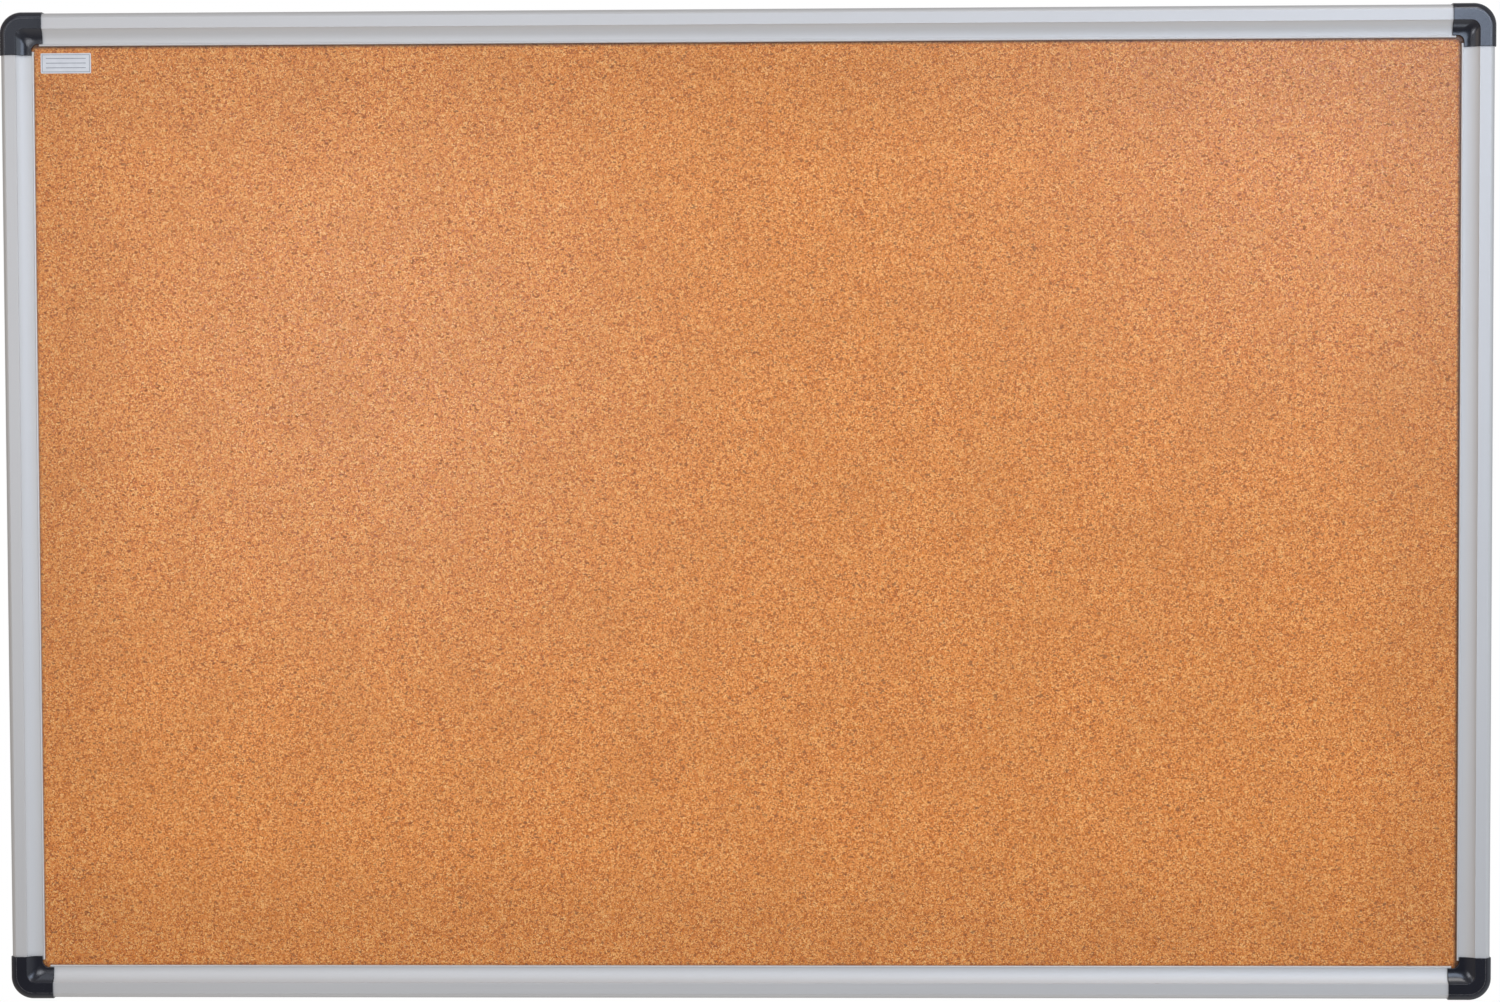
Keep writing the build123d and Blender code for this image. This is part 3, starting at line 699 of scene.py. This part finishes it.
def glossy_moulded_plastic():
    """Blue-black moulded plastic: a soft gloss, faint flow marks, fine spark texture, edges lightened by
    scuffs and a painted highlight.

    One paler line, a painted highlight, runs along the flat band's outer edge, at its own distance round the
    outline.
    """
    f = Finish("moulded_cap_plastic")
    place = f.place()
    flow = f.noise(place, 45.0, 3.0, 0.55)
    spark = f.noise(place, 3600.0, 2.0, 0.6)
    patchiness = f.noise(f.scaled(place, (1.0, 1.0, 3.0)), 900.0, 4.0, 0.65)
    edge_wear_and_highlight = f.add("Attribute", attribute_name="edge_wear_and_highlight").outputs["Fac"]
    tone = f.blend(f.span(flow, 0, 1), *CAP_TONES)
    # Tight outer corners lightened towards the scuff colour: partly wear, partly a painted highlight.
    scuff_and_highlight = f.reckon("MULTIPLY", f.span(edge_wear_and_highlight, 0, 1, 0.1, 0.9), f.span(patchiness, 0.15, 0.9, 0.35, 0.65))
    tone = f.blend(f.reckon("MULTIPLY", scuff_and_highlight, 0.5), tone, CAP_SCUFF_AND_HIGHLIGHT)
    # Painted highlight: a pale line along the flat band's outer edge.
    round_it = f.add("SeparateXYZ", {"Vector": f.add("UVMap", uv_map="UVMap").outputs["UV"]}).outputs["Y"]
    off_line = f.reckon("ABSOLUTE", f.reckon("SUBTRACT", round_it, HIGHLIGHT_LINE))
    line = f.span(off_line, 1, 0, *HIGHLIGHT_WIDTH)
    line = f.reckon("MULTIPLY", line, f.span(patchiness, 0.1, 1.0, 0.38, 0.62))
    tone = f.blend(f.reckon("MULTIPLY", line, HIGHLIGHT_SHOWS), tone, CAP_PAINTED_HIGHLIGHT)
    rough = f.reckon("ADD", f.span(flow, 0.18, 0.23), f.span(patchiness, 0.0, 0.10, 0.5, 0.8))
    skin = f.relief(spark, 0.012, 0.5)
    skin = f.relief(flow, 0.10, 0.2, skin)
    return f.done(Base_Color=tone, Roughness=rough, Specular_IOR_Level=0.5, Normal=skin)


def swept_corner(outlines, stations):
    """Outlines carried along one arm, round the corner and out along the other arm, in metres.

    A point at distance u in from the side runs straight along each arm, and turns on an arc of radius
    r(u) about the point (u + r(u), u + r(u)). Gives the grid [ring, point, (x, y, height)].
    """
    rings = []
    for (place, pull_in), (points, _, normal) in zip(stations, outlines):
        ring = points - normal * pull_in
        rings.append(np.stack([np.full(len(ring), place), ring[:, 0], ring[:, 1]], -1))
    points = outlines[-1][0]
    radius = np.interp(points[:, 0] / MM, *CORNER_ROUND) * MM
    angle = np.linspace(np.pi * 1.5, np.pi, CORNER_SEGMENTS + 1)[:, None]
    centre = points[:, 0] + radius
    height = np.broadcast_to(points[:, 1], (len(angle), len(points)))
    turn = np.stack([centre + radius * np.cos(angle), centre + radius * np.sin(angle), height], -1)
    arm = np.stack(rings)
    return np.concatenate([arm, turn, arm[::-1][:, :, [1, 0, 2]]])


def cap(corner, material):
    """The cap's outline swept round its corner, and the tongues that press into the bracket."""
    node = "corner_cap_" + corner
    low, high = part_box(node)
    right = 1 if "right" in corner else 0
    upper = 1 if "top" in corner else 0
    over_rail, at_corner = rounded_outline(CAP_OVER_RAIL), rounded_outline(CAP_AT_CORNER)
    stations = [(place * MM, pull_in * MM) for place, pull_in in CAP_STATIONS + [(OVER_RAIL_TO, 0.0)]]
    shell = swept_corner([over_rail] * len(CAP_STATIONS) + [at_corner], stations)
    grids = [(shell, at_corner[1])]
    along, across, x, y = TONGUE
    square = np.array([(-1, -1), (1, -1), (1, 1), (-1, 1)], float)
    for half, place in (((along, across), (x, y)), ((across, along), (y, x))):
        tongue = np.empty((len(TONGUE_LEVELS), 4, 3))
        for ring, (level, pull_in) in enumerate(TONGUE_LEVELS):
            tongue[ring, :, :2] = (np.array(place) + square * (np.array(half) / 2 - pull_in)) * MM
            tongue[ring, :, 2] = level * MM
        grids.append((tongue, np.zeros(4)))
    tubes = []
    for grid, edge_wear_and_highlight in grids:
        placed = np.empty(grid.shape)
        placed[..., 0] = high[0] - grid[..., 0] if right else low[0] + grid[..., 0]
        placed[..., 1] = -grid[..., 2]
        placed[..., 2] = high[2] - grid[..., 1] if upper else low[2] + grid[..., 1]
        tubes.append((placed, edge_wear_and_highlight))
    return solid_from_tubes("cap_shell_" + corner, tubes, material)


cap_plastic = glossy_moulded_plastic()
for corner in CORNERS:
    piece = cap(corner, cap_plastic)
    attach(piece, "cap_" + corner)
    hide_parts("corner_cap_" + corner)


# ---------------------------------------------------------------------------------------------------
# Studio: a pale floor well below the board, soft boxes, a white surround that lights the board unevenly,
# and the camera. The floor neither lights the board nor shows in its gloss.

FLOOR_LEVEL = -0.75
FLOOR_HALF = 1.9
FLOOR_TONES = ((0.90, 0.90, 0.90), (0.93, 0.93, 0.93))


def pale_floor():
    """Matt white floor paper with a faint tooth."""
    f = Finish("white_floor_paper")
    tooth = f.noise(f.place(), 300.0, 3.0)
    tone = f.blend(f.span(tooth, 0, 1), *FLOOR_TONES)
    return f.done(Base_Color=tone, Roughness=f.span(tooth, 0.7, 0.8))


floor_mesh = bpy.data.meshes.new("studio_floor")
floor_sides = ((-1, -1), (1, -1), (1, 1), (-1, 1))
floor_corners = [(x * FLOOR_HALF, y * FLOOR_HALF, FLOOR_LEVEL) for x, y in floor_sides]
floor_mesh.from_pydata(floor_corners, [], [(0, 1, 2, 3)])
floor_mesh.materials.append(pale_floor())
floor = bpy.data.objects.new("studio_floor", floor_mesh)
floor.visible_diffuse = False
floor.visible_glossy = False
bpy.context.scene.collection.objects.link(floor)


def soft_box(name, place, aim, size, power, colour):
    """Rectangular soft light at a place, turned to face a point."""
    lamp = bpy.data.lights.new(name, "AREA")
    lamp.shape = "RECTANGLE"
    lamp.size, lamp.size_y = size
    lamp.energy = power
    lamp.color = colour
    holder = bpy.data.objects.new(name, lamp)
    holder.location = place
    toward = np.array(aim, float) - np.array(place, float)
    flat = math.hypot(toward[0], toward[1])
    holder.rotation_euler = (math.atan2(flat, -toward[2]), 0, math.atan2(toward[1], toward[0]) - math.pi / 2)
    bpy.context.scene.collection.objects.link(holder)


SOFT_BOXES = {   # place, point aimed at, size, power in watts, colour
    "key_box": ((0.70, -1.90, 0.47), (0.2, 0.0, 0.05), (0.60, 0.65), 8.4, (0.66, 0.78, 1.0)),
    "fill_box": ((-0.52, -1.90, 0.12), (-0.2, 0.0, 0.0), (0.50, 0.50), 6.2, (0.90, 0.93, 1.0)),
    "left_box": ((-1.05, -1.75, 1.10), (-0.4, 0.0, 0.2), (0.40, 1.50), 3.6, (0.78, 0.86, 1.0)),
    "top_box": ((0.93, -1.75, 1.45), (0.2, 0.0, -0.1), (0.60, 0.70), 9.0, (1.0, 0.97, 0.97)),
    "low_box": ((0.96, -1.80, -1.35), (0.4, 0.0, 0.2), (0.50, 0.50), 2.8, (0.78, 0.87, 1.0)),
    "window_box": ((1.75, -1.75, 0.45), (0.4, 0.0, 0.1), (0.90, 0.60), 4.5, (0.72, 0.85, 1.0)),
    "lamp_box": ((-1.90, -1.75, 0.60), (-0.4, 0.0, 0.1), (0.80, 0.80), 3.2, (1.0, 0.86, 0.74)),
}
for box_name, settings in SOFT_BOXES.items():
    soft_box(box_name, *settings)

ROOM_LEVEL = 0.79
ROOM_SLOPE = 0.24                   # how much lighter the room is to the right
ROOM_BELOW = 0.45                   # light thrown up from below, in front of the wall
BELOW_FOCUS = 3.0                   # how closely it keeps to straight below
WALL_SHADE = 0.30                   # how much dimmer it is behind the board's face, on the right
WALL_FADE = 5.0                     # how quickly the room goes from front to behind
ROOM_LEFT = (1.0, 0.93, 0.88)       # warm light from the left, cooler from the right
ROOM_RIGHT = (0.92, 0.97, 1.04)
FRONT_SHADE = 0.78                  # how much dimmer it is straight in front
FRONT_FOCUS = 4.0                   # how closely the dim part keeps to straight in front


def pale_room():
    """White surround to the eye; as a light, brighter and cooler on the right and dimmer in front.

    Its level is a slope across the room, less a share behind on the right, plus the light from below, all
    dimmed towards straight in front.
    """
    world = bpy.data.worlds.new("pale_room")
    world.use_nodes = True
    tree = world.node_tree
    way = tree.nodes.new("ShaderNodeTexCoord").outputs["Generated"]

    def step(operation, *values):
        """One to three values added, multiplied and so on."""
        node = tree.nodes.new("ShaderNodeMath")
        node.operation = operation
        for socket, value in zip(node.inputs, values):
            if isinstance(value, bpy.types.NodeSocket):
                tree.links.new(value, socket)
            else:
                socket.default_value = value
        return node.outputs[0]

    parts = tree.nodes.new("ShaderNodeSeparateXYZ")
    tree.links.new(way, parts.inputs[0])
    x, y, z = parts.outputs
    level = step("MULTIPLY_ADD", x, ROOM_SLOPE, ROOM_LEVEL)
    behind = step("MULTIPLY_ADD", y, WALL_FADE, 0.5)
    behind.node.use_clamp = True
    shade = step("MULTIPLY", behind, step("MULTIPLY_ADD", x, 0.5, 0.5))
    level = step("MULTIPLY", level, step("MULTIPLY_ADD", shade, -WALL_SHADE, 1.0))
    below = step("POWER", step("MAXIMUM", step("MULTIPLY", z, -1.0), 0.0), BELOW_FOCUS)
    below = step("MULTIPLY", below, step("SUBTRACT", 1.0, behind))
    level = step("MULTIPLY_ADD", below, ROOM_BELOW, level)
    front = step("POWER", step("MAXIMUM", step("MULTIPLY", y, -1.0), 0.0), FRONT_FOCUS)
    level = step("MULTIPLY", level, step("MULTIPLY_ADD", front, -FRONT_SHADE, 1.0))
    light = tree.nodes.new("ShaderNodeBackground")
    tint = tree.nodes.new("ShaderNodeMix")
    tint.data_type = "RGBA"
    tree.links.new(step("MULTIPLY_ADD", x, 0.5, 0.5), tint.inputs[MIX_FACTOR])
    tint.inputs[MIX_FIRST].default_value = (*ROOM_LEFT, 1.0)
    tint.inputs[MIX_SECOND].default_value = (*ROOM_RIGHT, 1.0)
    tree.links.new(tint.outputs[MIX_COLOUR], light.inputs["Color"])
    tree.links.new(level, light.inputs["Strength"])
    backdrop = tree.nodes["Background"]
    backdrop.inputs["Color"].default_value = (1.0, 1.0, 1.0, 1.0)
    either = tree.nodes.new("ShaderNodeMixShader")
    tree.links.new(tree.nodes.new("ShaderNodeLightPath").outputs["Is Camera Ray"], either.inputs[0])
    tree.links.new(light.outputs[0], either.inputs[1])
    tree.links.new(backdrop.outputs[0], either.inputs[2])
    tree.links.new(either.outputs[0], tree.nodes["World Output"].inputs["Surface"])
    return world


bpy.context.scene.world = pale_room()
bpy.context.scene.view_settings.view_transform = "Standard"

LENS = 72.0               # focal length and sensor width, in mm
SENSOR = 36.0
CAMERA_PLACE = (0.0452, -1.8244, 0.0727)
CAMERA_TURN = (87.8083, 0.2029, 1.3313)   # degrees about x, y and z
lens = bpy.data.cameras.new("camera")
lens.lens = LENS
lens.sensor_width = SENSOR
camera = bpy.data.objects.new("camera", lens)
camera.location = CAMERA_PLACE
camera.rotation_euler = tuple(math.radians(angle) for angle in CAMERA_TURN)
bpy.context.scene.collection.objects.link(camera)
bpy.context.scene.camera = camera
